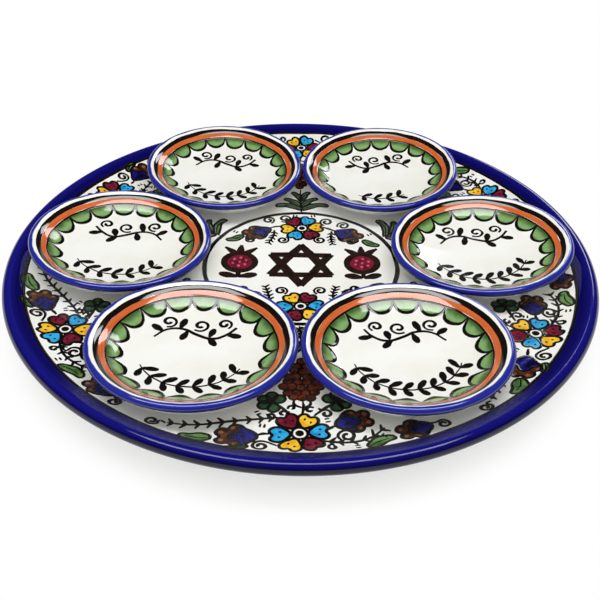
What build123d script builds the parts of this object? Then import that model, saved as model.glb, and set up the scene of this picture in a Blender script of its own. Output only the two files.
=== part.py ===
from build123d import *
import os
from math import asin, cos, degrees, pi, radians, sin, sqrt

# Seder plate: a thrown and glazed platter that carries a ring of loose dishes, one for each food.
# Millimetres, +Z up. The origin is the middle of the platter's foot ring, on the table.

# Dishes, counter-clockwise from +X
dish_names = ["shank_bone_dish", "egg_dish", "horseradish_dish",
              "parsley_dish", "charoset_dish", "bitter_herb_dish"]
dish_diameter = 102.0
dish_lip_crest = 2.2  # radius of the roll from the inside to its outermost line
dish_lip_under = 1.8  # and from there to the outside of the wall
dish_wall_length = 12.2
dish_wall_angle = 33.0
dish_outside_angle = 47.0
dish_bend_radius = 12.0
dish_outside_bend_radius = 12.0
dish_floor_curve = 300.0
dish_floor_thickness = 3.4
dish_foot_width = 4.5
dish_foot_height = 1.4  # from the table to the lowest point of the underside
dish_foot_edge = 0.7
dish_foot_cove = 1.0

# How the dishes stand: between their lips, from their feet to the edge of the round well,
# and the thickness of glaze left between a foot and the well
lip_gap = 0.8
well_margin = 5.0
seat_gap = 0.3

# Platter. The well is part of a large sphere, so that each dish sits level on it and leans inward.
platter_lip_crest = 3.6
platter_lip_under = 3.0
platter_wall_length = 8.5
platter_wall_angle = 28.0
platter_outside_angle = 32.0
platter_bend_radius = 30.0
platter_outside_bend_radius = 36.0
platter_floor_curve = 1380.0
platter_floor_thickness = 6.5
platter_foot_inset = 30.0
platter_foot_width = 10.0
platter_foot_height = 2.5
platter_foot_edge = 1.2
platter_foot_cove = 2.5

coincident = 0.01  # points closer than this are the same corner


# One turn of the wheel: curved floor, bend, sloping wall, rolled lip, outside and foot ring
def thrown_form(floor_radius, floor_curve, floor_thickness, bend_radius, wall_angle, wall_length,
                lip_crest, lip_under, outside_angle, outside_bend_radius,
                foot_radius, foot_width, foot_height, foot_edge, foot_cove):
    floor_top = foot_height + floor_thickness
    floor_slope = degrees(asin(floor_radius / floor_curve))
    underside_curve = floor_curve + floor_thickness
    middle_of_curve = Vector(0, floor_top + floor_curve)
    foot_inside = foot_radius - foot_width

    def on_underside(corner):
        distance = (Vector(corner.X, corner.Y) - middle_of_curve).length
        return abs(distance - underside_curve) < coincident

    with BuildSketch(Plane.XZ) as section:
        with BuildLine():
            floor = JernArc((0, floor_top), (1, 0), floor_curve, floor_slope)
            bend = JernArc(floor @ 1, floor % 1, bend_radius, wall_angle - floor_slope)
            wall = PolarLine(bend @ 1, wall_length, direction=bend % 1)
            lip_top = JernArc(wall @ 1, wall % 1, lip_crest, -90 - wall_angle)
            lip_below = JernArc(lip_top @ 1, lip_top % 1, lip_under, outside_angle - 90)
            to_axis = (lip_below @ 1).X / cos(radians(outside_angle))
            outside = PolarLine(lip_below @ 1, to_axis, direction=lip_below % 1)
            Line(outside @ 1, floor @ 0)
        make_face()
        with Locations(middle_of_curve):
            Circle(underside_curve, mode=Mode.INTERSECT)
        fillet([corner for corner in section.vertices()
                if on_underside(corner) and corner.X > coincident], outside_bend_radius)
        with Locations((foot_inside, 0)):
            Rectangle(foot_width, floor_top, align=Align.MIN)
        fillet([corner for corner in section.vertices()
                if on_underside(corner) and foot_inside - coincident < corner.X < foot_radius + coincident],
               foot_cove)
        fillet([corner for corner in section.vertices() if corner.Y < coincident], foot_edge)
    return revolve(section.sketch, Axis.Z)


# The wall, the bend and the lip are taken off the dish's radius, and the foot stands under what is left.
dish_slope = radians(dish_wall_angle)
dish_rim_run = (dish_bend_radius * sin(dish_slope) + dish_wall_length * cos(dish_slope)
                + dish_lip_crest * (1 + sin(dish_slope)))
dish_floor_radius = (dish_diameter / 2 - dish_rim_run) / (1 - dish_bend_radius / dish_floor_curve)
dish_foot_radius = dish_floor_radius
dish = thrown_form(dish_floor_radius, dish_floor_curve, dish_floor_thickness, dish_bend_radius,
                   dish_wall_angle, dish_wall_length, dish_lip_crest, dish_lip_under,
                   dish_outside_angle, dish_outside_bend_radius, dish_foot_radius, dish_foot_width,
                   dish_foot_height, dish_foot_edge, dish_foot_cove)
dish_lip_height = dish.bounding_box().max.Z - dish_lip_crest

# Neighbouring lips set the ring, and the ring sets the lean of the dishes on the well's sphere.
seat_depth = sqrt(platter_floor_curve ** 2 - (dish_foot_radius - dish_foot_edge) ** 2) - seat_gap
lip_ring_radius = (dish_diameter + lip_gap) / (2 * sin(pi / len(dish_names)))
dish_lean = asin(lip_ring_radius / (seat_depth - dish_lip_height))
seat_ring_radius = seat_depth * sin(dish_lean)

well_radius = seat_ring_radius + dish_foot_radius + well_margin
well_bottom = platter_foot_height + platter_floor_thickness
platter = thrown_form(well_radius, platter_floor_curve, platter_floor_thickness, platter_bend_radius,
                      platter_wall_angle, platter_wall_length, platter_lip_crest, platter_lip_under,
                      platter_outside_angle, platter_outside_bend_radius,
                      well_radius - platter_foot_inset, platter_foot_width,
                      platter_foot_height, platter_foot_edge, platter_foot_cove)

nodes = {"platter": platter}
middle_of_sphere = Pos(0, 0, well_bottom + platter_floor_curve)
for number, name in enumerate(dish_names):
    turn = 360 * number / len(dish_names)
    lean = Rot(0, 0, turn) * Rot(0, -degrees(dish_lean), 0)
    nodes[name] = middle_of_sphere * lean * Pos(0, 0, -seat_depth) * dish

os.makedirs("parts", exist_ok=True)
for name, solid in nodes.items():
    solid.label = name
    export_step(solid, f"parts/{name}.step")

for name in ("platter", dish_names[0]):
    box = nodes[name].bounding_box()
    print(f"{name}: {box.size.X:.2f} wide, {box.size.Z:.2f} high, top at {box.max.Z:.2f}")
print(f"well radius {well_radius:.2f}, well bottom {well_bottom:.2f}")
print(f"dish floor radius {dish_floor_radius:.2f}, lip height {dish_lip_height:.2f}")
print(f"dishes lean {degrees(dish_lean):.2f} degrees, seats on radius {seat_ring_radius:.2f}")
print(f"least gap of dish and platter {platter.distance_to(nodes[dish_names[0]]):.3f},")
print(f"of two dishes {nodes[dish_names[0]].distance_to(nodes[dish_names[1]]):.3f}")
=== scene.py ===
import bmesh
import bpy
import numpy
import random
from cmath import rect
from math import pi, radians, tan
from mathutils import Matrix, Vector
from mathutils.bvhtree import BVHTree


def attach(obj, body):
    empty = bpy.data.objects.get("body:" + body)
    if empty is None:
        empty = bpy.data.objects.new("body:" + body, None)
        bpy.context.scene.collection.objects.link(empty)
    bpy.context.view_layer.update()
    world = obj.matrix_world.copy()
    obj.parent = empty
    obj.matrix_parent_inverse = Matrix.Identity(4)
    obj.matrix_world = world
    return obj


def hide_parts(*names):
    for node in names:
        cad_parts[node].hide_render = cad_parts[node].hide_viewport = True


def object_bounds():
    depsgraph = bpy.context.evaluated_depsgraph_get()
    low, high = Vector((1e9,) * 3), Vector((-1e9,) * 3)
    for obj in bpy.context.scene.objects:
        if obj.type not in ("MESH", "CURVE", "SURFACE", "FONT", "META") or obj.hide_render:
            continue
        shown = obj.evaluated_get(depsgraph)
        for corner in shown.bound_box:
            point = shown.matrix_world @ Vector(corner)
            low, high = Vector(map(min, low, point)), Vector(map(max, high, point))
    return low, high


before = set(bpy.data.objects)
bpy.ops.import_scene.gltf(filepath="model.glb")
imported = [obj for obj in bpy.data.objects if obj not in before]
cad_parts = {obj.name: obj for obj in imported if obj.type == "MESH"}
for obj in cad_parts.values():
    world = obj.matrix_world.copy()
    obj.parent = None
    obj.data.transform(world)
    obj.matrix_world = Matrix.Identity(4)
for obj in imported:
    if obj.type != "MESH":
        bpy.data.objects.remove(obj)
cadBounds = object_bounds()
scene = bpy.context.scene
mm = 0.001
dishes = [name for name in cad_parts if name.endswith("_dish")]
print("frame loaded:", ", ".join(sorted(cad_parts)))


# Colours are written as sRGB hex and used as linear values
def colour(hexValue):
    parts = [int(hexValue[i:i + 2], 16) / 255 for i in (1, 3, 5)]
    return [p / 12.92 if p <= 0.04045 else ((p + 0.055) / 1.055) ** 2.4 for p in parts] + [1]


# Adds one node: settings by attribute name, values and links by socket name, or by number as in i0
def add(tree, kind, settings=None, **sockets):
    node = tree.nodes.new(kind)
    for key, value in (settings or {}).items():
        setattr(node, key, value)
    for key, value in sockets.items():
        numbered = key[0] == "i" and key[1:].isdigit()
        socket = node.inputs[int(key[1:]) if numbered else key.replace("_", " ")]
        if isinstance(value, bpy.types.NodeSocket):
            tree.links.new(value, socket)
        else:
            socket.default_value = value
    return node


def newMaterial(name):
    material = bpy.data.materials.new(name)
    material.use_nodes = True
    material.node_tree.nodes.clear()
    return material, material.node_tree


# The wheel leaves each piece round, so its axis is the direction in which its surface reaches least.
# The frame stands on the foot, with X across to the viewer's right.
def turningFrame(node):
    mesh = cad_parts[node].data
    count = len(mesh.polygons)
    areas, centres, points = numpy.empty(count), numpy.empty(count * 3), numpy.empty(len(mesh.vertices) * 3)
    mesh.polygons.foreach_get("area", areas)
    mesh.polygons.foreach_get("center", centres)
    mesh.vertices.foreach_get("co", points)
    centres, points = centres.reshape(-1, 3), points.reshape(-1, 3)
    middle = numpy.average(centres, axis=0, weights=areas)
    spread = numpy.cov((centres - middle).T, aweights=areas)
    axis = Vector(numpy.linalg.eigh(spread)[1][:, 0])
    axis = axis if axis.z > 0 else -axis
    origin = Vector(middle) + axis * float(((points - middle) @ numpy.array(axis)).min())
    across = (Vector((1, 0, 0)) - axis * axis.x).normalized()
    return Matrix.Translation(origin) @ Matrix((across, axis.cross(across), axis)).transposed().to_4x4()


turned = {node: turningFrame(node) for node in ["platter"] + dishes}
for node, matrix in turned.items():
    print("turning frame of", node, [round(v / mm, 2) for v in matrix.translation])


# A spot on a piece as seen from its own turning axis, and its distance from that axis
def ownSpot(tree, node):
    place = turned[node]
    spot = add(tree, "ShaderNodeTexCoord").outputs["Object"]
    own = add(tree, "ShaderNodeMapping", {"vector_type": "TEXTURE"}, Vector=spot,
              Location=place.translation, Rotation=place.to_euler()).outputs[0]
    flat = add(tree, "ShaderNodeVectorMath", {"operation": "MULTIPLY"}, i0=own, i1=(1, 1, 0)).outputs[0]
    return own, add(tree, "ShaderNodeVectorMath", {"operation": "LENGTH"}, i0=flat).outputs["Value"]


# Brush marks left while the wheel turns: short across the band, in millimetres, and long along it
def brushMarks(tree, own, radius, across, along):
    flat = add(tree, "ShaderNodeVectorMath", {"operation": "MULTIPLY"}, i0=own, i1=(1, 1, 0)).outputs[0]
    heading = add(tree, "ShaderNodeVectorMath", {"operation": "NORMALIZE"}, i0=flat).outputs[0]
    part = add(tree, "ShaderNodeSeparateXYZ", Vector=heading).outputs
    inward = add(tree, "ShaderNodeMath", {"operation": "DIVIDE"}, i0=radius, i1=across * mm / along).outputs[0]
    brush = add(tree, "ShaderNodeCombineXYZ", X=part["X"], Y=part["Y"], Z=inward).outputs[0]
    height = add(tree, "ShaderNodeSeparateXYZ", Vector=own).outputs["Z"]
    height = add(tree, "ShaderNodeMath", {"operation": "DIVIDE"}, i0=height, i1=2 * across * mm / along).outputs[0]
    return add(tree, "ShaderNodeTexNoise", {"noise_dimensions": "4D"}, Vector=brush, W=height, Scale=along,
               Detail=3.0, Roughness=0.6).outputs["Fac"]


# Colours, gloss and roughness, then sizes in millimetres: the waver of a painted edge and its softness, the
# rise and fall of the lower edge of the cobalt and where it fades, the depth of the thin crest, the glaze pools,
# the clay grit, the wiped edge of the foot, the swell of the glaze and its height, and a brush mark across and
# along. Last come shares: how thin the cobalt is below the crest and on it, how much of that is streaks, and
# between which values of the noise the glaze pools.
whiteware = {
    "glaze": "#F3F4F4", "pooled": "#ECECE7", "clay": "#C8A684", "clayGrit": "#A98561",
    "ior": 1.5, "roughness": 0.05, "clayRoughness": 0.85,
    "waver": 14, "soft": 0.3, "lowerWaver": 1.6, "lowerFade": (0.6, 1.0), "crestDepth": 1.8, "pools": 22,
    "grit": 0.9, "wiped": 0.15, "swell": 16, "swellHeight": 0.2, "brush": (1.1, 1.6),
    "thin": (-0.5, -0.05), "streaks": 1.1, "poolRange": (0.42, 0.72),
}
# The cobalt breaks thin on the crest of a lip. Outside and below the lip it is painted darker as shade: wall gives a
# spot on the inside wall, as radius and height, and its slope, and thick how far below the line of that wall the
# painted shade darkens.
platterColour = {
    "bandFrom": 153.6, "bandBottom": -2, "cobalt": "#070452", "cobaltThin": "#1C1B8E",
    "cobaltShade": "#04021F", "wall": (151.93, 19.57, 28), "thick": (0.8, 5.5), "crest": 23.98,
    "wobble": 0.5, "footBare": 0.9, "gloss": 0.45,
}
dishColour = {
    "bandFrom": 48.2, "bandBottom": 12.3, "cobalt": "#101178", "cobaltThin": "#303BAC",
    "cobaltShade": "#08084A", "wall": (37.37, 8.39, 33), "thick": (1.6, 5), "crest": 15.39,
    "wobble": 0.45, "footBare": 0.6, "gloss": 0.85,
}


# Tin glazed earthenware, thrown and dipped: a milky gloss that pools a little, cobalt brushed round the lip while the
# wheel turns and painted darker as shade outside below the lip, and a foot wiped bare so that the buff clay shows
def glazedWare(name, node, look):
    material, tree = newMaterial(name)
    own, radius = ownSpot(tree, node)
    part = add(tree, "ShaderNodeSeparateXYZ", Vector=own).outputs

    wave = add(tree, "ShaderNodeTexNoise", Vector=own, Scale=1 / (whiteware["waver"] * mm), Detail=2.0).outputs["Fac"]
    shifted = add(tree, "ShaderNodeMath", {"operation": "MULTIPLY_ADD"}, i0=wave,
                  i1=4 * look["wobble"] * mm, i2=radius).outputs[0]
    edge, soft = (look["bandFrom"] + 2 * look["wobble"]) * mm, whiteware["soft"] * mm
    onBand = add(tree, "ShaderNodeMapRange", {"interpolation_type": "SMOOTHSTEP"}, Value=shifted,
                 From_Min=edge - soft, From_Max=edge + soft).outputs[0]
    risen = add(tree, "ShaderNodeMath", {"operation": "MULTIPLY_ADD"}, i0=wave,
                i1=whiteware["lowerWaver"] * mm, i2=part["Z"]).outputs[0]
    fadeFrom, fadeTo = [(look["bandBottom"] + v) * mm for v in whiteware["lowerFade"]]
    above = add(tree, "ShaderNodeMapRange", {"interpolation_type": "SMOOTHSTEP"}, Value=risen,
                From_Min=fadeFrom, From_Max=fadeTo).outputs[0]
    onBand = add(tree, "ShaderNodeMath", {"operation": "MULTIPLY"}, i0=onBand, i1=above).outputs[0]

    streak = brushMarks(tree, own, radius, *whiteware["brush"])
    thin = add(tree, "ShaderNodeMapRange", Value=part["Z"], From_Max=look["crest"] * mm,
               From_Min=(look["crest"] - whiteware["crestDepth"]) * mm,
               To_Min=whiteware["thin"][0], To_Max=whiteware["thin"][1]).outputs[0]
    thinner = add(tree, "ShaderNodeMath", {"operation": "MULTIPLY_ADD", "use_clamp": True}, i0=streak,
                  i1=whiteware["streaks"], i2=thin).outputs[0]
    cobalt = add(tree, "ShaderNodeMix", {"data_type": "RGBA"}, Factor=thinner,
                 i6=colour(look["cobalt"]), i7=colour(look["cobaltThin"])).outputs[2]
    # painted shade: the cobalt turns darker below the line of the inside wall, on the outside under the lip
    wallRadius, wallHeight, slope = look["wall"]
    wallLine = add(tree, "ShaderNodeMath", {"operation": "MULTIPLY_ADD"}, i0=radius, i1=tan(radians(slope)),
                   i2=(wallHeight - wallRadius * tan(radians(slope))) * mm).outputs[0]
    below = add(tree, "ShaderNodeMath", {"operation": "SUBTRACT"}, i0=wallLine, i1=part["Z"]).outputs[0]
    low = add(tree, "ShaderNodeMapRange", {"interpolation_type": "SMOOTHSTEP"}, Value=below,
              From_Min=look["thick"][0] * mm, From_Max=look["thick"][1] * mm).outputs[0]
    cobalt = add(tree, "ShaderNodeMix", {"data_type": "RGBA"}, Factor=low, i6=cobalt,
                 i7=colour(look["cobaltShade"])).outputs[2]

    mottle = add(tree, "ShaderNodeTexNoise", Vector=own, Scale=1 / (whiteware["pools"] * mm),
                 Detail=3.0).outputs["Fac"]
    pooled = add(tree, "ShaderNodeMapRange", Value=mottle, From_Min=whiteware["poolRange"][0],
                 From_Max=whiteware["poolRange"][1]).outputs[0]
    white = add(tree, "ShaderNodeMix", {"data_type": "RGBA"}, Factor=pooled,
                i6=colour(whiteware["glaze"]), i7=colour(whiteware["pooled"])).outputs[2]
    glazed = add(tree, "ShaderNodeMix", {"data_type": "RGBA"}, Factor=onBand, i6=white, i7=cobalt).outputs[2]

    grit = add(tree, "ShaderNodeTexNoise", Vector=own, Scale=1 / (whiteware["grit"] * mm), Detail=4.0).outputs["Fac"]
    clay = add(tree, "ShaderNodeMix", {"data_type": "RGBA"}, Factor=grit,
               i6=colour(whiteware["clay"]), i7=colour(whiteware["clayGrit"])).outputs[2]
    bare = add(tree, "ShaderNodeMapRange", {"interpolation_type": "SMOOTHSTEP"}, Value=part["Z"],
               From_Min=(look["footBare"] - whiteware["wiped"]) * mm,
               From_Max=(look["footBare"] + whiteware["wiped"]) * mm, To_Min=1, To_Max=0).outputs[0]
    shown = add(tree, "ShaderNodeMix", {"data_type": "RGBA"}, Factor=bare, i6=glazed, i7=clay).outputs[2]
    rough = add(tree, "ShaderNodeMapRange", Value=bare, To_Min=whiteware["roughness"],
                To_Max=whiteware["clayRoughness"]).outputs[0]

    # the glaze waves very slightly over the throwing rings underneath
    swell = add(tree, "ShaderNodeTexNoise", Vector=own, Scale=1 / (whiteware["swell"] * mm),
                Detail=1.0).outputs["Fac"]
    bump = add(tree, "ShaderNodeBump", Height=swell, Strength=0.2, Distance=whiteware["swellHeight"] * mm).outputs[0]
    shader = add(tree, "ShaderNodeBsdfPrincipled", Base_Color=shown, Roughness=rough, IOR=whiteware["ior"],
                 Specular_IOR_Level=look["gloss"], Normal=bump)
    add(tree, "ShaderNodeOutputMaterial", Surface=shader.outputs[0])
    return material


# steps round the axis, the angle that stays a sharp edge, and in millimetres the tolerances for doubled points of
# the solid, for both cuts and for the weld
turning = {"platterSteps": 256, "dishSteps": 160, "sharp": 40, "doubles": 0.001, "cut": 0.002, "halve": 0.0001,
           "weld": 0.02}
wareTree = {}


# The section of a solid, cut on the side that faces away from the middle of the plate, is spun round its
# own axis again, so that the gloss runs smoothly along the lips
def turnWare(node, steps, material):
    place = turned[node]
    work = bmesh.new()
    work.from_mesh(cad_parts[node].data)
    bmesh.ops.transform(work, matrix=place.inverted(), verts=work.verts)
    bmesh.ops.remove_doubles(work, verts=work.verts, dist=turning["doubles"] * mm)
    outward = place.to_3x3().inverted() @ Vector((place.translation.x, place.translation.y, 0))
    outward = Vector((outward.x, outward.y, 0)).normalized() if outward.length > 1 * mm else Vector((1, 0, 0))
    bmesh.ops.bisect_plane(work, geom=work.verts[:] + work.edges[:] + work.faces[:], dist=turning["cut"] * mm,
                           plane_no=Vector((-outward.y, outward.x, 0)), clear_inner=True, clear_outer=True)
    bmesh.ops.bisect_plane(work, geom=work.verts[:] + work.edges[:], dist=turning["halve"] * mm,
                           plane_no=outward, clear_inner=True)
    bmesh.ops.spin(work, geom=work.verts[:] + work.edges[:], axis=(0, 0, 1), angle=2 * pi, steps=steps,
                   use_merge=True)
    bmesh.ops.remove_doubles(work, verts=work.verts, dist=turning["weld"] * mm)
    bmesh.ops.recalc_face_normals(work, faces=work.faces)
    bmesh.ops.transform(work, matrix=place, verts=work.verts)
    for face in work.faces:
        face.smooth = True
    for edge in work.edges:
        edge.smooth = edge.calc_face_angle(0) < radians(turning["sharp"])
    wareTree[node] = BVHTree.FromBMesh(work)
    ware = bpy.data.objects.new(node + "_ware", bpy.data.meshes.new(node + "_ware"))
    work.to_mesh(ware.data)
    work.free()
    ware.data.materials.append(material)
    scene.collection.objects.link(ware)
    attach(ware, node)
    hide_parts(node)
    print("turned", ware.name, len(ware.data.polygons), "faces")


turnWare("platter", turning["platterSteps"], glazedWare("tin_glazed_platter", "platter", platterColour))
for dish in dishes:
    turnWare(dish, turning["dishSteps"], glazedWare("tin_glazed_" + dish, dish, dishColour))
print("ware done")

# Painting. Motifs are drawn in plan millimetres as complex numbers, +X right and +Y away from the
# viewer, and are then laid on the ware as thin closed films of enamel, one piece for each colour.
hand = random.Random(11)
paintwork = {}


def sheetFor(body, paint):
    return paintwork.setdefault((body, paint), {"fills": [], "strokes": []})


def placed(points, at=0, turn=0, size=1):
    return [at + rect(size, radians(turn)) * p for p in points]


def shaken(points, amount):
    return [p + complex(hand.uniform(-amount, amount), hand.uniform(-amount, amount)) for p in points]


def circle(at, radius, count=8, start=0):
    return [at + rect(radius, start + 2 * pi * i / count) for i in range(count)]


def fill(body, paint, points, steps=4):
    sheetFor(body, paint)["fills"].append((points, steps))


# taper gives the share of the width at the start, in the middle and at the end of the stroke
def stroke(body, paint, points, width, taper=(0.6, 1, 0.45), closed=False, steps=4):
    widths = []
    for i in range(len(points)):
        t = 2 * i / max(len(points) - 1, 1)
        share = taper[0] + (taper[1] - taper[0]) * t if t < 1 else taper[1] + (taper[2] - taper[1]) * (t - 1)
        widths.append(width / 2 * (1 if closed else share) * hand.uniform(0.92, 1.08))
    sheetFor(body, paint)["strokes"].append((points, widths, closed, steps))


def outlined(body, paint, points, width, steps=4):
    fill(body, paint, points, steps)
    stroke(body, "black", points, width, closed=True, steps=steps)


# A pointed drop from start to end, as one press of a loaded brush leaves it
def drop(body, paint, start, end, width):
    along = end - start
    across = 1j * along / abs(along) * width / 2
    points = [start, start + along * 0.3 + across * 0.75, start + along * 0.65 + across, end,
              start + along * 0.65 - across, start + along * 0.3 - across * 0.75]
    fill(body, paint, shaken(points, width * 0.04), 3)


# widths of the black brush lines, in millimetres
line = {"petal": 2.1, "leaf": 1.8, "stem": 2.0, "spiral": 1.9, "twig": 1.8, "dash": 1.3, "tulip": 2.1, "ring": 1.5}
flowerLook = {
    "petal": [4.0, 5.6 - 2.4j, 8.7 - 4.5j, 11.6 - 4.2j, 12.8 - 2.3j, 11.7, 12.8 + 2.3j, 11.6 + 4.2j,
              8.7 + 4.5j, 5.6 + 2.4j],
    "marks": [8.4 - 1.7j, 9.2 + 1.6j], "ring": 3.5, "eye": 1.9,
}


# paints run counter-clockwise from the viewer's right, three of them twice over
def flower(body, at, paints, size=1.0):
    for k in range(6):
        direction = 5 + 60 * k + hand.uniform(-3, 3)
        petal = placed(flowerLook["petal"], at, direction, size * hand.uniform(0.96, 1.03))
        outlined(body, paints[k % 3], shaken(petal, 0.14), line["petal"])
        for mark in placed(flowerLook["marks"], at, direction, size):
            outward = rect(0.75, radians(direction))
            drop(body, "black", mark - outward, mark + outward, 1.1)
    stroke(body, "black", shaken(circle(at, flowerLook["ring"] * size), 0.1), line["ring"], closed=True)
    fill(body, "black", circle(at, flowerLook["eye"] * size, 6), 3)


# a cup with two side tips, and four round petals behind it
tulipLook = {
    "petals": [5 - 5j, 7.4 - 7.2j, 10.8 - 7.4j, 12.6 - 5.4j, 15.6 - 5.8j, 18 - 3.2j, 16.6 - 0.3j, 18.4 + 2.5j,
               16.4 + 5.4j, 12.8 + 5.2j, 11 + 7.4j, 7.6 + 7.3j, 5 + 5j],
    "cup": [0, 1.6 - 2.6j, 4.2 - 4.4j, 7.5 - 6.4j, 8.6 - 3.6j, 11.2 - 2.2j, 12.6 + 0.2j, 11.1 + 2.3j, 8.7 + 3.8j,
            7.2 + 6.5j, 4 + 4.4j, 1.5 + 2.6j],
    "flecks": [(9.6 - 5.9j, 11.6 - 6.4j), (14.6 - 3.2j, 17 - 3.6j), (14.8 + 2.6j, 17.2 + 2.8j),
               (9.8 + 5.9j, 11.8 + 6.4j)],
}


def tulip(body, at, turn, size=1.0):
    petals = shaken(placed(tulipLook["petals"], at, turn, size), 0.15)
    fill(body, "brown", petals)
    stroke(body, "black", petals, line["tulip"], (1, 1, 1))
    outlined(body, "navy", shaken(placed(tulipLook["cup"], at, turn, size), 0.15), line["tulip"])
    for start, end in tulipLook["flecks"]:
        start, end = placed([start, end], at, turn, size)
        drop(body, "ochre", start, end, 2.2 * size)


def leaf(body, paint, start, end, width, bow=0.12):
    along = end - start
    side = 1j * along / abs(along) * width
    bend = 1j * along * bow
    points = [start, start + along * 0.28 + side * 0.42 + bend * 0.7, start + along * 0.62 + side * 0.45 + bend,
              end, start + along * 0.66 - side * 0.4 + bend, start + along * 0.3 - side * 0.48 + bend * 0.7]
    outlined(body, paint, shaken(points, 0.1), line["leaf"])
    stroke(body, "black", [start, start + along * 0.45 + bend * 0.9, start + along * 0.8 + bend * 0.6],
           line["leaf"] * 0.75)


def spiral(body, at, radius, start, way=1, turns=1.45, width=line["spiral"], tail=None):
    count = 12
    points = [at + rect(radius * (1 - 0.78 * i / count), radians(start) + way * 2 * pi * turns * i / count)
              for i in range(count + 1)]
    stroke(body, "black", ([] if tail is None else [tail]) + points, width, (0.75, 1, 1), steps=3)


def twig(body, path, every=5.2, tick=3.8):
    stroke(body, "black", path, line["twig"], (0.8, 1, 0.6))
    for a, b in zip(path, path[1:]):
        steps = max(1, round(abs(b - a) / every))
        heading = (b - a) / abs(b - a)
        for i in range(steps):
            knot = a + (b - a) * (i + 0.6) / steps
            for lean in (52, -52):
                tip = knot + heading * rect(tick * hand.uniform(0.8, 1.15), radians(lean))
                stroke(body, "black", [knot, (knot + tip) / 2 + heading * 0.15, tip], line["twig"] * 0.9,
                       (1, 1, 0.6), steps=2)


def dashes(body, at, turn):
    for shift in (-0.95j, 0.95j):
        mark = placed([-1.2 + shift, 0.1 + shift * 1.1, 1.2 + shift], at, turn)
        stroke(body, "black", mark, line["dash"], (0.8, 1, 0.6), steps=1)


# rows of berries: how far out each row lies and how many berries it has
grapeLook = {
    "rows": [(-114.2, 3), (-110.6, 4), (-106.8, 5), (-102.8, 4), (-98.8, 4), (-94.8, 3), (-91, 2), (-87.4, 1)],
    "middle": 1.2, "spacing": 4.25, "berry": 1.95, "rim": 2.8,
}


def grapes(body, turn):
    for y, count in grapeLook["rows"]:
        for i in range(count):
            spot = complex(grapeLook["middle"] + (i - (count - 1) / 2) * grapeLook["spacing"], y)
            spot = placed(shaken([spot], 0.6), 0, turn)[0]
            fill(body, "grapeSkin", circle(spot, grapeLook["rim"], 6), 2)
            fill(body, "grape", circle(spot, grapeLook["berry"] * hand.uniform(0.9, 1.05), 6), 2)


vineLobe = [0.8, 2.4 - 2.1j, 5 - 2.5j, 6.9, 5 + 2.5j, 2.4 + 2.1j]


def vineLeaf(body, stem, at, turn):
    stroke(body, "black", [stem, (stem + at) / 2 + 0.4j, at], line["stem"])
    for lean in (128, -122, 64, -58, 3):
        lobe = placed(vineLobe, at, turn + lean + hand.uniform(-5, 5))
        outlined(body, "vineGreen", shaken(lobe, 0.2), line["leaf"])


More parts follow.
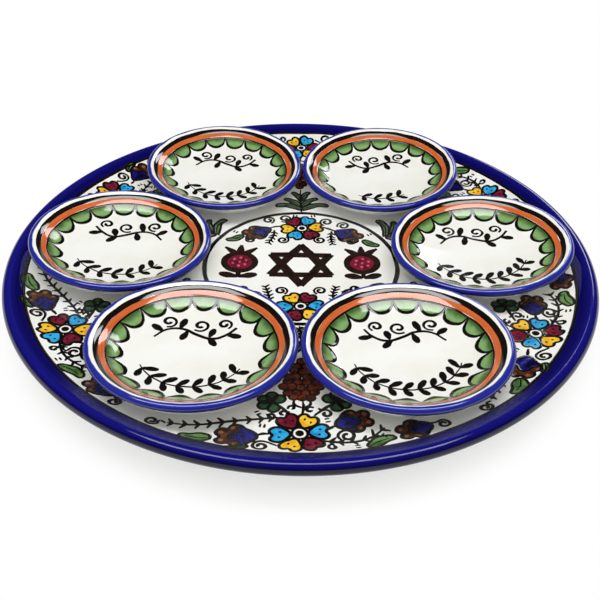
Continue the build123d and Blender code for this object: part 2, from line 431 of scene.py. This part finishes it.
# One spray fills the space between two dishes and the lip. It is drawn as it lies in front, then turned round.
def spray(body, turn, paints):
    def many(*spots):
        return placed(shaken(spots, 0.5), 0, turn)

    def one(spot):
        return many(spot)[0]

    flower(body, one(0.5 - 138.5j), paints)
    # left arm
    stroke(body, "black", many(-13 - 139j, -16 - 139.4j, -19 - 140.4j), line["stem"])
    tulip(body, one(-18.5 - 140.5j), turn + 186, 0.98)
    leaf(body, "leafGreen", one(-37.6 - 142.6j), one(-51.5 - 142.8j), 7.2)
    twig(body, many(-9 - 128j, -18 - 129.5j, -30 - 131.8j, -46 - 135j, -58 - 134.6j))
    spiral(body, one(-64.5 - 134.2j), 3.4, turn + 10, -1, tail=one(-59 - 135j))
    spiral(body, one(-16 - 147.6j), 4.0, turn + 60, 1, tail=one(-9.5 - 147.5j))
    leaf(body, "leafGreen", one(-22 - 148.6j), one(-31 - 150.3j), 3.6)
    spiral(body, one(-12.4 - 127.6j), 2.2, turn + 280, 1, 0.9)
    # right arm
    stroke(body, "black", many(12.5 - 136j, 14.5 - 134.4j, 17 - 132.8j), line["stem"])
    tulip(body, one(16.5 - 133j), turn + 22, 0.92)
    twig(body, many(10.5 - 143.5j, 20 - 144.2j, 30 - 141.4j, 38 - 134.5j))
    spiral(body, one(21 - 139.6j), 4.4, turn + 230, -1, tail=one(13 - 142.8j))
    leaf(body, "leafGreen", one(29.5 - 148.8j), one(42 - 141.6j), 6.2)
    tulip(body, one(58.4 - 132.6j), turn + 205, 0.88)
    spiral(body, one(64.4 - 133.4j), 3.3, turn + 150, -1, tail=one(59 - 132j))
    spiral(body, one(15 - 147.8j), 2.4, turn + 90, 1, 1.0)
    # stem, tendrils and vine leaves above the flower
    stroke(body, "black", many(1 - 125.6j, 2 - 121j, 1.4 - 116.5j), line["stem"])
    stroke(body, "black", many(2 - 121.5j, 5 - 118.6j, 4.6 - 116j), line["stem"])
    stroke(body, "black", many(1.4 - 121.5j, -2 - 118.6j, -2 - 116j), line["stem"])
    spiral(body, one(-7.6 - 125.6j), 2.1, turn + 350, 1, 0.85, tail=one(-4.4 - 123.6j))
    spiral(body, one(-2.8 - 121.2j), 1.9, turn + 210, -1, 0.85)
    spiral(body, one(5.4 - 122.8j), 2.2, turn + 40, 1, 0.85)
    spiral(body, one(12.2 - 125j), 2.8, turn + 120, -1, 1.05, tail=one(8.8 - 122j))
    vineLeaf(body, one(-3.5 - 125.6j), one(-12.4 - 117.6j), turn + 150)
    vineLeaf(body, one(7 - 126.4j), one(17 - 116.4j), turn + 30)
    for spot, lean in ((-19 - 125.6j, 30), (12.5 - 129.5j, 15), (37 - 139.4j, 60), (-16 - 133.6j, 80),
                       (25 - 147.6j, 10)):
        dashes(body, one(spot), turn + lean)
    grapes(body, turn)
    # a leafy shoot in the gap beside the medallion
    stroke(body, "black", many(0 - 58j, 0.6 - 68j, 1.2 - 84j), line["stem"])
    for root, tip, width, bow in ((-0.4 - 60j, -17 - 65j, 4.4, 0.16), (0.4 - 60j, 17 - 65j, 4.4, -0.16),
                                  (0 - 64j, -10.5 - 73j, 4.2, 0.1), (0.6 - 64j, 11 - 73j, 4.2, -0.1),
                                  (0.6 - 71j, -5.4 - 81j, 3.6, 0.08), (0.8 - 71j, 6.6 - 81j, 3.6, -0.08)):
        leaf(body, "oliveGreen", one(root), one(tip), width, bow)


medallionLook = {"ring": 56.3, "line": 2.9}


def medallion(body):
    ring = circle(0, medallionLook["ring"], 48)
    stroke(body, "black", shaken(ring, 0.15), medallionLook["line"], closed=True)
    flower(body, 0.4 + 39.2j, ["yellow", "skyBlue", "maroon"])
    flower(body, 0.2 - 40.2j, ["skyBlue", "maroon", "yellow"])
    for side in (1, -1):  # the lower half repeats the upper one the other way up
        def half(spot):
            spot = shaken([spot], 0.6)[0]
            return spot if side > 0 else spot.conjugate()
        tulip(body, half(-20 + 38.6j), 210 * side, 0.95)
        stroke(body, "black", [half(-13 + 41j), half(-16 + 40.4j), half(-20 + 38.6j)], line["stem"])
        leaf(body, "leafGreen", half(-36 + 29.6j), half(-46 + 24.6j), 4.6, 0.12 * side)
        tulip(body, half(22 + 36j), -32 * side, 0.95)
        stroke(body, "black", [half(13 + 41j), half(17.6 + 39j), half(22 + 36j)], line["stem"])
        leaf(body, "leafGreen", half(38 + 26.4j), half(47 + 20.4j), 4.6, -0.12 * side)
        for at, radius, start, way in ((-21 + 47.6j, 4, 300, 1), (-11 + 49.4j, 4.2, 240, 1),
                                       (16.4 + 46.8j, 4.2, 250, -1), (26.6 + 42.4j, 4, 200, -1),
                                       (-11 + 26.2j, 3.8, 60, -1), (11 + 25.8j, 3.8, 120, 1),
                                       (-31.5 + 25.2j, 3.2, 80, 1), (30 + 24j, 3, 80, -1)):
            spiral(body, half(at), radius, start * side, way * side)
        twig(body, [half(-17 + 36.5j), half(-17.6 + 30j), half(-19.6 + 21.6j)], 3.1, 3.2)
        twig(body, [half(18.4 + 36.5j), half(18 + 30j), half(19.6 + 21.4j)], 3.1, 3.2)
        for at, turn in ((-25 + 28j, 20), (24.6 + 27j, 160), (-4.4 + 53.2j, 80), (8 + 53.2j, 100),
                         (-41 + 33j, 60), (42 + 31.4j, 120)):
            dashes(body, half(at), turn * side)


ornament = {"star": 20, "starLine": 6.0, "fruit": 36, "fruitUp": 1.5, "fruitSize": 8.8, "fruitLine": 4.6}


# A six-pointed star between two pomegranates, in broad strokes
def centreOrnament(body):
    for first in (90, 270):
        corners = circle(0, ornament["star"], 3, radians(first))
        for a, b in zip(corners, corners[1:] + corners[:1]):
            past = (b - a) / abs(b - a)
            side = [a - past, a + (b - a) * 0.35, a + (b - a) * 0.7, b + past]
            stroke(body, "umber", shaken(side, 0.25), ornament["starLine"], (0.8, 1, 0.85))
    for side in (1, -1):
        at = complex(side * ornament["fruit"], ornament["fruitUp"])
        size = ornament["fruitSize"]
        stroke(body, "umber", shaken(circle(at, size, 10), 0.2), ornament["fruitLine"], closed=True)
        fill(body, "maroon", circle(at, size - 1.2, 10))
        for seed in [at] + circle(at, 4.1, 6, 0.4):
            drop(body, "rose", *shaken([seed - 1.1j, seed + 1.3j], 0.2), 1.7)
        for lean in (58, 90, 122):  # crown
            root = at + rect(size, radians(90 + (lean - 90) * 0.5))
            tip = at + rect(size + 9, radians(lean))
            stroke(body, "umber", shaken([root, (root + tip) / 2, tip], 0.3), 4.4, (1.25, 1, 0.45))
        foot = at - 1j * (size + 5.5)
        stroke(body, "umber", shaken([at - 1j * size, at - 1j * (size + 3), foot], 0.2), 3.2, (1.3, 1, 0.8))
        for spread in (-11 + 2.4j, 11 + 2.4j):
            drop(body, "umber", *shaken([foot - 0.4j, foot + spread], 0.3), 5.4)


print("drawing the platter")
frontPaints = ["skyBlue", "yellow", "maroon"]
rightPaints = ["maroon", "skyBlue", "yellow"]
leftPaints = ["yellow", "skyBlue", "maroon"]
for k, paints in enumerate([frontPaints, rightPaints, rightPaints, rightPaints, leftPaints, leftPaints]):
    spray("platter", 60 * k, paints)
medallion("platter")
centreOrnament("platter")
fieldEdge = circle(0, platterColour["bandFrom"] - 0.1, 72)
stroke("platter", "black", shaken(fieldEdge, 0.12), 1.8, closed=True)

dishPaint = {"outerLine": (46.7, 44.0), "orange": (44.4, 41.2), "innerLine": (41.5, 40.4),
             "scallops": 18, "scallopBase": 40.6, "scallopTip": 34.2, "scallopLine": 2.4,
             "garland": 26.4, "garlandStem": 1.3, "garlandLeaf": 8.2, "garlandLeafWidth": 3.4, "flourishLine": 2.3}
# lower garland from and to, in degrees, and the number of leaf pairs
garlands = {"shank_bone_dish": (200, 338, 9), "egg_dish": (236, 304, 4), "horseradish_dish": (206, 334, 8),
            "parsley_dish": (212, 328, 7), "charoset_dish": (206, 334, 8), "bitter_herb_dish": (196, 344, 10)}


def ringBand(body, paint, radii, wobble):
    outer, inner = radii
    stroke(body, paint, shaken(circle(0, (outer + inner) / 2, 40), wobble), outer - inner, closed=True)


def dishBands(body):
    ringBand(body, "orange", dishPaint["orange"], 0.12)
    ringBand(body, "black", dishPaint["outerLine"], 0.16)
    ringBand(body, "black", dishPaint["innerLine"], 0.12)
    start = hand.uniform(0, 20)
    step = 360 / dishPaint["scallops"]
    base = dishPaint["scallopBase"]
    for k in range(dishPaint["scallops"]):
        depth = (base - dishPaint["scallopTip"]) * hand.uniform(0.88, 1.08)

        def at(share, inward):
            return rect(base - depth * inward, radians(start + step * (k + share)))
        edge = [at(0.02, 0), at(0.08, 0.5), at(0.28, 0.88), at(0.54, 1), at(0.8, 0.8), at(0.95, 0.36), at(1, 0)]
        edge = shaken(edge, 0.2)
        fill(body, "scallopGreen", edge + [at(0.75, -0.05), at(0.5, -0.05), at(0.25, -0.05)])
        stroke(body, "black", edge, dishPaint["scallopLine"], (0.6, 1.1, 0.6))


def garland(body, first, last, pairs):
    radius = dishPaint["garland"]
    count = 2 * pairs + 1
    arc = [rect(radius, radians(first + (last - first) * i / (count - 1))) for i in range(count)]
    stroke(body, "black", shaken(arc, 0.2), dishPaint["garlandStem"], (0.6, 1, 0.6))
    for i in range(pairs):
        knot = rect(radius, radians(first + (last - first) * (i + 0.4) / pairs))
        out = knot / abs(knot)
        for way in (0.62, -0.78):
            reach = (out * way + 0.55j * out) * dishPaint["garlandLeaf"] * hand.uniform(0.9, 1.08)
            drop(body, "black", knot, knot + reach, dishPaint["garlandLeafWidth"])


def flourish(body, flip):
    width = dishPaint["flourishLine"]

    def flipped(*spots):
        return shaken([complex(flip * z.real, z.imag) for z in spots], 0.3)
    vine = flipped(-21 + 11j, -15 + 17.4j, -7.6 + 18.6j, 0.4 + 14.4j, 8 + 12j, 15 + 15.2j, 19.4 + 20.6j)
    stroke(body, "black", vine, width, (0.6, 1, 0.7))
    for at, radius, start, way in ((-15 + 23.8j, 4.4, 260, 1), (1.6 + 21.8j, 4.6, 230, 1), (13 + 23.4j, 3.9, 300, 1)):
        spiral(body, flipped(at)[0], radius, start if flip > 0 else 180 - start, way * flip, 1.25, width * 0.85)
    for start, end in ((-17 + 15.6j, -23 + 20.4j), (-9 + 18.6j, -6.6 + 27j), (-5 + 17.4j, -7.4 + 9.6j),
                       (5.6 + 12.4j, 10.4 + 6.2j), (6.6 + 12.6j, 8.6 + 20j), (15 + 15.2j, 22.4 + 13j)):
        drop(body, "black", *flipped(start, end), 3.8)


print("drawing the dishes")
for number, dish in enumerate(dishes):
    dishBands(dish)
    garland(dish, *garlands[dish])
    flourish(dish, 1 if number % 2 else -1)

# Enamels: a main tone, the tone where the brush left it thick, and how far the film stands up, in millimetres
enamels = {
    "leafGreen": ("#648F4D", "#385F2E", 0.045),
    "vineGreen": ("#34603A", "#1D4226", 0.045),
    "oliveGreen": ("#62795A", "#41553F", 0.045),
    "scallopGreen": ("#80A86A", "#3A5F2C", 0.045),
    "orange": ("#DE7440", "#B04A20", 0.045),
    "brown": ("#5A2E18", "#241007", 0.05),
    "ochre": ("#9A5E34", "#6E3F22", 0.07),
    "grapeSkin": ("#1E0D08", "#140805", 0.04),
    "grape": ("#6E2E1C", "#35140C", 0.07),
    "maroon": ("#7E1E34", "#5A1225", 0.06),
    "rose": ("#C4607A", "#A8405C", 0.08),
    "yellow": ("#F6C838", "#E5A51E", 0.06),
    "skyBlue": ("#36ADE6", "#1C88CC", 0.06),
    "navy": ("#14127A", "#05041A", 0.075),
    "umber": ("#2A1B17", "#1D110D", 0.065),
    "black": ("#0D0A08", "#17110D", 0.09),
}
# rippled radii between which the green wash darkens towards the band and towards the tip, how far it darkens
# there, and the height of the ripple
scallopShade = {"toBand": (38.5, 42.1), "toTip": (38.0, 35.4), "tipShare": 0.6, "ripple": 3.0}
# size of the pools in a brush stroke, a brush mark of the orange band across and along, between which values of
# the noise each turns dark, and added roughness
enamelLook = {"pools": 4.5, "brush": (0.9, 3.0), "poolRange": (0.38, 0.68), "brushRange": (0.34, 0.7),
              "rougher": 0.02}


# Enamel painted on the raw glaze and fired in: full colour, uneven where the brush paused, glossy like the ware
def enamel(name, paint, gloss, node=None):
    main, thick, _ = enamels[paint]
    material, tree = newMaterial(name)
    spot = add(tree, "ShaderNodeTexCoord").outputs["Object"]
    pooling = add(tree, "ShaderNodeTexNoise", Vector=spot, Scale=1 / (enamelLook["pools"] * mm),
                  Detail=3.0).outputs["Fac"]
    amount = add(tree, "ShaderNodeMapRange", {"interpolation_type": "SMOOTHSTEP"}, Value=pooling,
                 From_Min=enamelLook["poolRange"][0], From_Max=enamelLook["poolRange"][1]).outputs[0]
    if paint == "orange":
        streak = brushMarks(tree, *ownSpot(tree, node), *enamelLook["brush"])
        amount = add(tree, "ShaderNodeMapRange", {"interpolation_type": "SMOOTHSTEP"}, Value=streak,
                     From_Min=enamelLook["brushRange"][0], From_Max=enamelLook["brushRange"][1]).outputs[0]
    if paint == "scallopGreen":  # a wash that is darkest along the band and pale in the middle of each scallop
        radius = ownSpot(tree, node)[1]
        ripple = add(tree, "ShaderNodeMath", {"operation": "MULTIPLY_ADD"}, i0=pooling,
                     i1=scallopShade["ripple"] * mm, i2=radius).outputs[0]
        rising = add(tree, "ShaderNodeMapRange", {"interpolation_type": "SMOOTHSTEP"}, Value=ripple,
                     From_Min=scallopShade["toBand"][0] * mm, From_Max=scallopShade["toBand"][1] * mm).outputs[0]
        falling = add(tree, "ShaderNodeMapRange", {"interpolation_type": "SMOOTHSTEP"}, Value=ripple,
                      From_Min=scallopShade["toTip"][0] * mm, From_Max=scallopShade["toTip"][1] * mm,
                      To_Max=scallopShade["tipShare"]).outputs[0]
        amount = add(tree, "ShaderNodeMath", {"operation": "MAXIMUM"}, i0=rising, i1=falling).outputs[0]
    tone = add(tree, "ShaderNodeMix", {"data_type": "RGBA"}, Factor=amount,
               i6=colour(main), i7=colour(thick)).outputs[2]
    shader = add(tree, "ShaderNodeBsdfPrincipled", Base_Color=tone, IOR=whiteware["ior"], Specular_IOR_Level=gloss,
                 Roughness=whiteware["roughness"] + enamelLook["rougher"])
    add(tree, "ShaderNodeOutputMaterial", Surface=shader.outputs[0])
    return material


enamelOf = {}
for body, paint in paintwork:
    onPlatter = body == "platter"
    ownShade = body if paint in ("scallopGreen", "orange") else None
    key = (ownShade or onPlatter, paint)
    if key not in enamelOf:
        name = "_".join(["fired_enamel", paint, ownShade or ("platter" if onPlatter else "dish")])
        gloss = (platterColour if onPlatter else dishColour)["gloss"]
        enamelOf[key] = enamel(name, paint, gloss, ownShade)
    paintwork[body, paint]["material"] = enamelOf[key]

# in millimetres, the longest edge, how far the edge of a stroke and its underside sink into the glaze, and the
# tolerances of its weld and of its level middle; then the angle that stays sharp, and the height from which a
# point is dropped, in metres
film = {"longest": 2.0, "sunk": 0.02, "under": 0.04, "weld": 0.0005, "level": 0.001, "sharp": 20, "dropFrom": 0.06}


# Drops a point of the drawing on the ware along the turning axis
def lay(node, spot, lift):
    matrix = turned[node]
    start = matrix @ Vector((spot.x * mm, spot.y * mm, film["dropFrom"]))
    hit, normal, _, _ = wareTree[node].ray_cast(start, -matrix.col[2].to_3d())
    return hit + normal * lift * mm


def curveMesh(dimensions, points, widths, closed, steps, **settings):
    curve = bpy.data.curves.new("brush", "CURVE")
    curve.dimensions = dimensions
    for key, value in settings.items():
        setattr(curve, key, value)
    spline = curve.splines.new("BEZIER")
    spline.bezier_points.add(len(points) - 1)
    spline.use_cyclic_u = closed
    spline.resolution_u = steps
    for knot, point, width in zip(spline.bezier_points, points, widths):
        knot.co = (point.real, point.imag, 0)
        knot.radius = width
        knot.handle_left_type = knot.handle_right_type = "AUTO"
    holder = bpy.data.objects.new("brush", curve)
    mesh = bpy.data.meshes.new_from_object(holder)
    bpy.data.objects.remove(holder)
    bpy.data.curves.remove(curve)
    # the caps of a stroke come apart from its sides, so they are welded
    dab = bmesh.new()
    dab.from_mesh(mesh)
    bmesh.ops.remove_doubles(dab, verts=dab.verts, dist=film["weld"])
    bmesh.ops.recalc_face_normals(dab, faces=dab.faces)
    dab.to_mesh(mesh)
    dab.free()
    return mesh


def paintedPiece(body, paint, sheet):
    work = bmesh.new()
    jobs = [("2D", points, [1] * len(points), True, steps, {"fill_mode": "BOTH", "extrude": 0.5})
            for points, steps in sheet["fills"]]
    round3d = {"bevel_depth": 1.0, "bevel_resolution": 1, "use_fill_caps": True, "twist_mode": "Z_UP"}
    jobs += [("3D", points, widths, closed, steps, round3d) for points, widths, closed, steps in sheet["strokes"]]
    for dimensions, points, widths, closed, steps, settings in jobs:
        mesh = curveMesh(dimensions, points, widths, closed, steps, **settings)
        work.from_mesh(mesh)
        bpy.data.meshes.remove(mesh)
    # long edges are cut so that the film follows the bowl
    for _ in range(4):
        tooLong = [edge for edge in work.edges if edge.calc_length() > film["longest"]]
        if tooLong:
            bmesh.ops.subdivide_edges(work, edges=tooLong, cuts=1)
            bmesh.ops.triangulate(work, faces=[face for face in work.faces if len(face.verts) > 4])
    bmesh.ops.triangulate(work, faces=work.faces)
    lift = enamels[paint][2]
    for vert in work.verts:
        below = -film["under"] if vert.co.z < -film["level"] else -film["sunk"]
        vert.co = lay(body, vert.co, lift if vert.co.z > film["level"] else below)
    work.normal_update()
    for face in work.faces:
        face.smooth = True
    for edge in work.edges:
        edge.smooth = edge.calc_face_angle(0) < radians(film["sharp"])
    mesh = bpy.data.meshes.new(body + "_enamel_" + paint)
    work.to_mesh(mesh)
    work.free()
    mesh.materials.append(sheet["material"])
    piece = bpy.data.objects.new(mesh.name, mesh)
    scene.collection.objects.link(piece)
    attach(piece, body)
    print("painted", piece.name, len(mesh.polygons), "faces")


for (body, paint), sheet in paintwork.items():
    paintedPiece(body, paint, sheet)
print("painting done")

# Floor: a plain matt sheet that keeps the shadow close to the plate and is white further out
floorLook = {"radius": 4.0, "shadowFrom": 0.12, "shadowTo": 0.178, "sheet": "#F6F6F6", "below": 0.0002}
floorMesh = bmesh.new()
bmesh.ops.create_circle(floorMesh, cap_ends=True, segments=96, radius=floorLook["radius"])
bmesh.ops.translate(floorMesh, verts=floorMesh.verts, vec=(0, 0, cadBounds[0][2] - floorLook["below"]))
floor = bpy.data.objects.new("floor", bpy.data.meshes.new("floor"))
floorMesh.to_mesh(floor.data)
floorMesh.free()
scene.collection.objects.link(floor)

# Matt paper: even and without gloss
paper, tree = newMaterial("matt_paper_floor")
spot = add(tree, "ShaderNodeTexCoord").outputs["Object"]
reach = add(tree, "ShaderNodeVectorMath", {"operation": "LENGTH"}, i0=spot).outputs["Value"]
away = add(tree, "ShaderNodeMapRange", {"interpolation_type": "SMOOTHSTEP"}, Value=reach,
           From_Min=floorLook["shadowFrom"], From_Max=floorLook["shadowTo"]).outputs[0]
path = add(tree, "ShaderNodeLightPath").outputs
seen = path["Is Camera Ray"]
for ray in ("Is Glossy Ray", "Is Transmission Ray"):
    seen = add(tree, "ShaderNodeMath", {"operation": "MAXIMUM"}, i0=seen, i1=path[ray]).outputs[0]
whiter = add(tree, "ShaderNodeMath", {"operation": "MULTIPLY"}, i0=away, i1=seen).outputs[0]
sheet = add(tree, "ShaderNodeBsdfDiffuse", Color=colour(floorLook["sheet"]))
glow = add(tree, "ShaderNodeEmission", Color=colour("#FFFFFF"), Strength=1.0)
mixed = add(tree, "ShaderNodeMixShader", i0=whiter, i1=sheet.outputs[0], i2=glow.outputs[0])
add(tree, "ShaderNodeOutputMaterial", Surface=mixed.outputs[0])
floor.data.materials.append(paper)

# A pale wall all round the table, a ceiling too dark to show in the glaze, and an even, warm fill on matt colour
surround = {"wall": 0.7, "ceiling": 0.03, "fill": 0.4, "wallTop": 0.02, "ceilingFrom": 0.2, "warm": "#FFFDEE"}
world = bpy.data.worlds.new("white_room")
world.use_nodes = True
tree = world.node_tree
tree.nodes.clear()
heading = add(tree, "ShaderNodeTexCoord").outputs["Generated"]
rise = add(tree, "ShaderNodeSeparateXYZ", Vector=heading).outputs["Z"]
strength = add(tree, "ShaderNodeMapRange", {"interpolation_type": "SMOOTHSTEP"}, Value=rise,
               From_Min=surround["wallTop"], From_Max=surround["ceilingFrom"],
               To_Min=surround["wall"], To_Max=surround["ceiling"]).outputs[0]
path = add(tree, "ShaderNodeLightPath").outputs
strength = add(tree, "ShaderNodeMath", {"operation": "MULTIPLY_ADD"}, i0=path["Is Diffuse Ray"], i1=surround["fill"],
               i2=strength).outputs[0]
strength = add(tree, "ShaderNodeMath", {"operation": "MAXIMUM"}, i0=strength, i1=path["Is Camera Ray"]).outputs[0]
tint = add(tree, "ShaderNodeMix", {"data_type": "RGBA"}, Factor=path["Is Diffuse Ray"],
           i6=colour("#FFFFFF"), i7=colour(surround["warm"])).outputs[2]
room = add(tree, "ShaderNodeBackground", Color=tint, Strength=strength)
add(tree, "ShaderNodeOutputWorld", Surface=room.outputs[0])
scene.world = world

# A strip over the near half of the plate and a small window at the back right, which both show in the glaze, and
# two cards that only light
lamps = {
    "strip_softbox": {"at": (0, -0.075, 0.6), "aim": (0, -0.075, 0), "size": (0.72, 0.17), "watts": 2.55},
    "right_softbox": {"at": (0.44, 0.88, 0.54), "aim": (0, 0, 0), "size": (0.3, 0.24), "watts": 1.3},
    "front_card": {"at": (0, -1.0, 0.28), "aim": (0, 0, 0.02), "size": (2.4, 0.5), "watts": 6.8, "gloss": False},
    "back_card": {"at": (0, 1.0, 0.28), "aim": (0, 0, 0.02), "size": (2.4, 0.5), "watts": 3.0, "gloss": False},
}
for name, lamp in lamps.items():
    data = bpy.data.lights.new(name, "AREA")
    data.shape = "RECTANGLE"
    data.size, data.size_y = lamp["size"]
    data.energy = lamp["watts"]
    light = bpy.data.objects.new(name, data)
    light.location = lamp["at"]
    light.visible_camera = False
    light.visible_glossy = lamp.get("gloss", True)
    light.rotation_euler = (Vector(lamp["aim"]) - light.location).to_track_quat("-Z", "Y").to_euler()
    scene.collection.objects.link(light)

# Fitted to the rim, the painted field and the lips of the dishes in the photograph
view = {"at": (0.0, -0.36493, 0.26387), "aim": (-0.0002, -0.0378, 0.012), "roll": 0.01252, "lens": 45.45}
cameraData = bpy.data.cameras.new("camera")
cameraData.lens = view["lens"]
cameraData.sensor_width = 36
camera = bpy.data.objects.new("camera", cameraData)
camera.location = view["at"]
look = (Vector(view["aim"]) - Vector(view["at"])).to_track_quat("-Z", "Y").to_matrix()
camera.rotation_euler = (look @ Matrix.Rotation(view["roll"], 3, "Z")).to_euler()
scene.collection.objects.link(camera)
scene.camera = camera
scene.view_settings.view_transform = "Standard"
print("lights and camera set")
